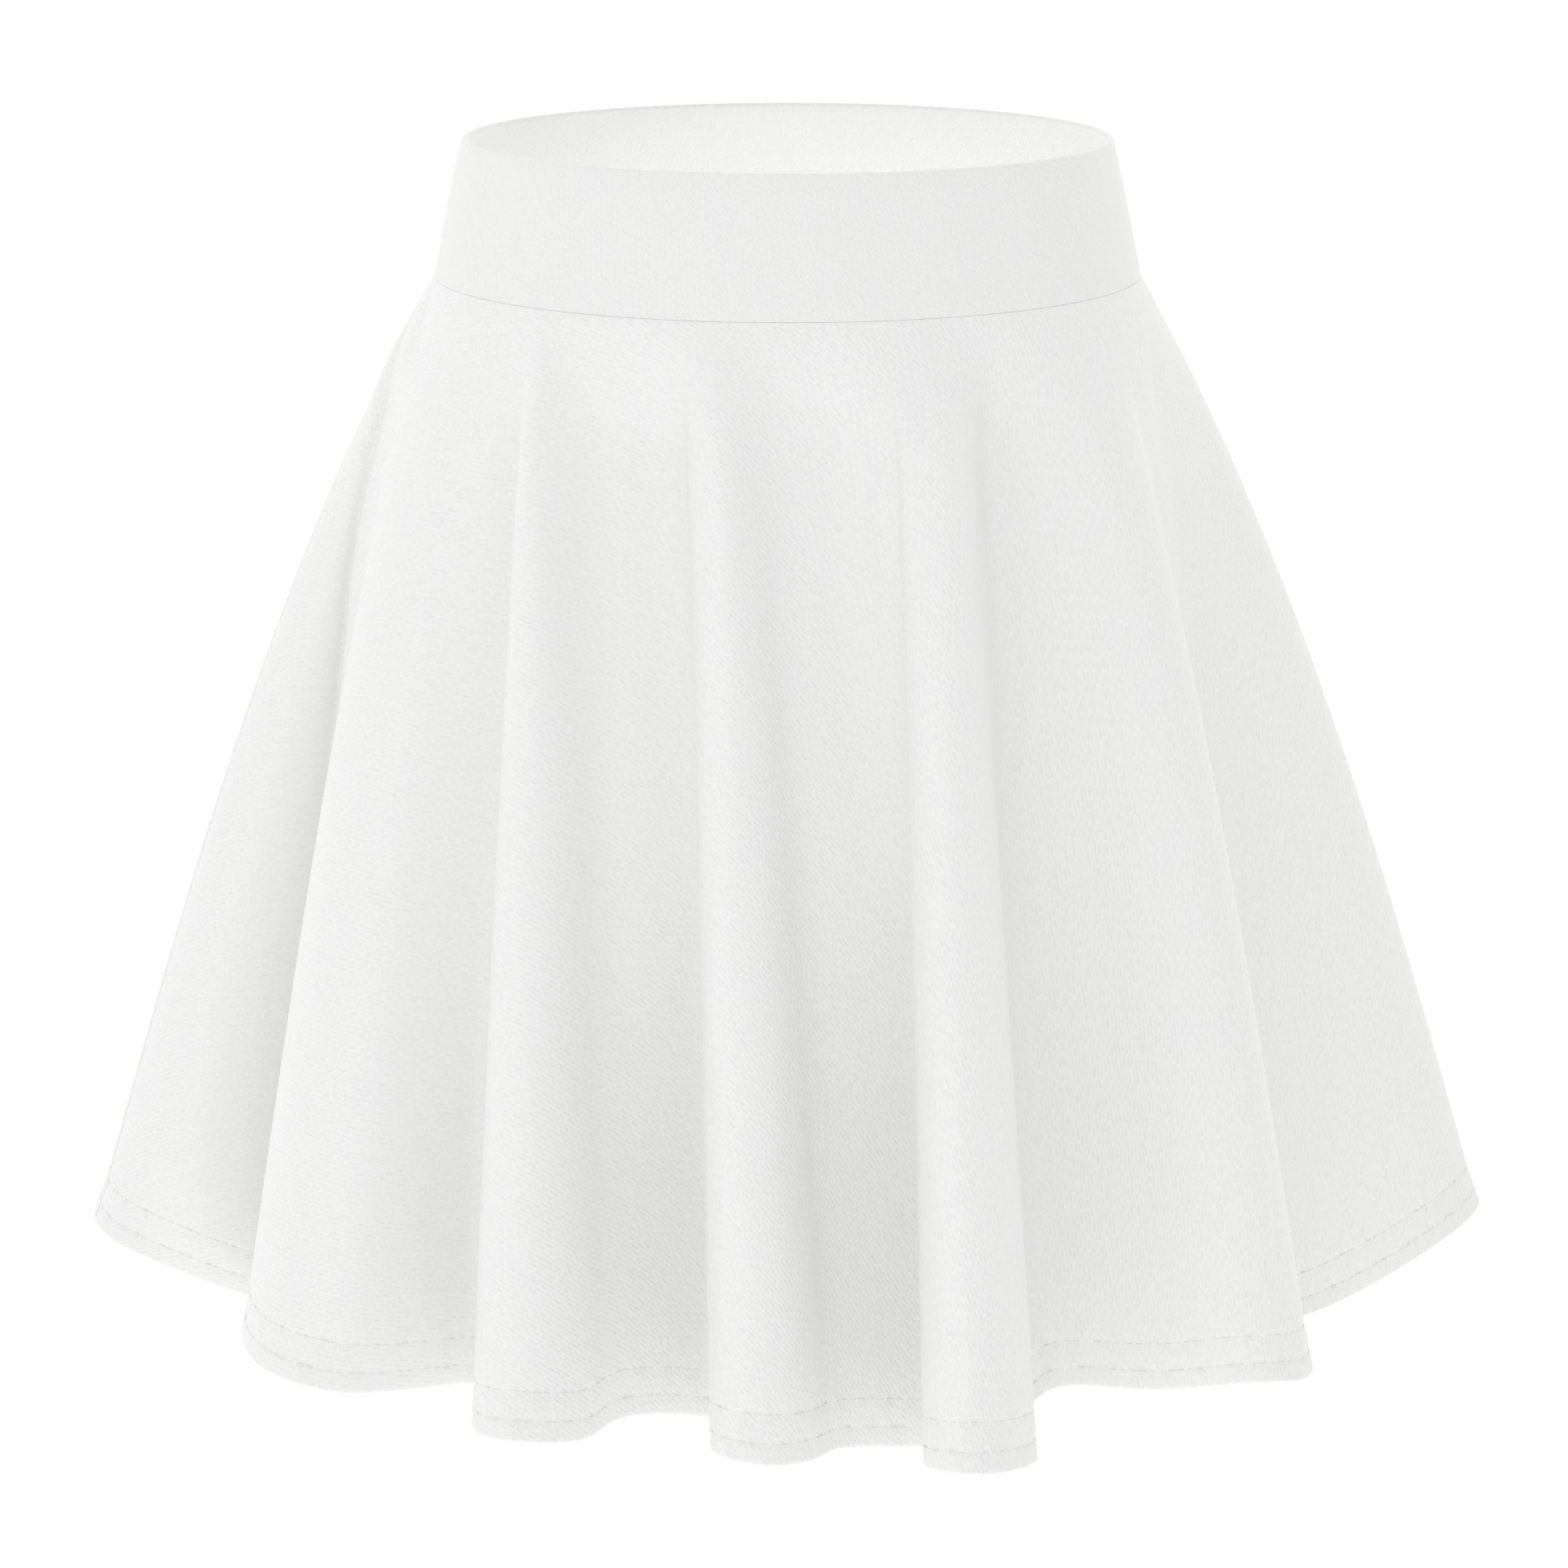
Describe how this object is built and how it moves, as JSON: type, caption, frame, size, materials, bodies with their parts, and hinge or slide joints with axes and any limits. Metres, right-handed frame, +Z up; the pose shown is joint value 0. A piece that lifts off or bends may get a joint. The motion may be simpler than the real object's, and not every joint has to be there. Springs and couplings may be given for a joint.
{
  "type": "a-line mini skirt",
  "caption": "Flared A-line mini skirt of white crepe knit, filled out as worn: wide plain waistband, smooth hips and deep soft folds down to a topstitched hem.",
  "frame": {"origin": "the middle of the waist opening, level with the waistband's top edge", "axes": "+Z up out of the waist opening, +X along the waist's width to the viewer's right, -Y out of the skirt's front"},
  "size_m": [0.5352, 0.5049, 0.4378],
  "materials": {
    "skirt_knit": "matte off-white crepe knit",
    "waistband_knit": "matte off-white crepe knit, finer and smoother"
  },
  "bodies": {
    "root": {"skirt_front": "skirt_knit", "skirt_back": "skirt_knit", "waistband_front": "waistband_knit", "waistband_back": "waistband_knit"}
  },
  "joints": []
}
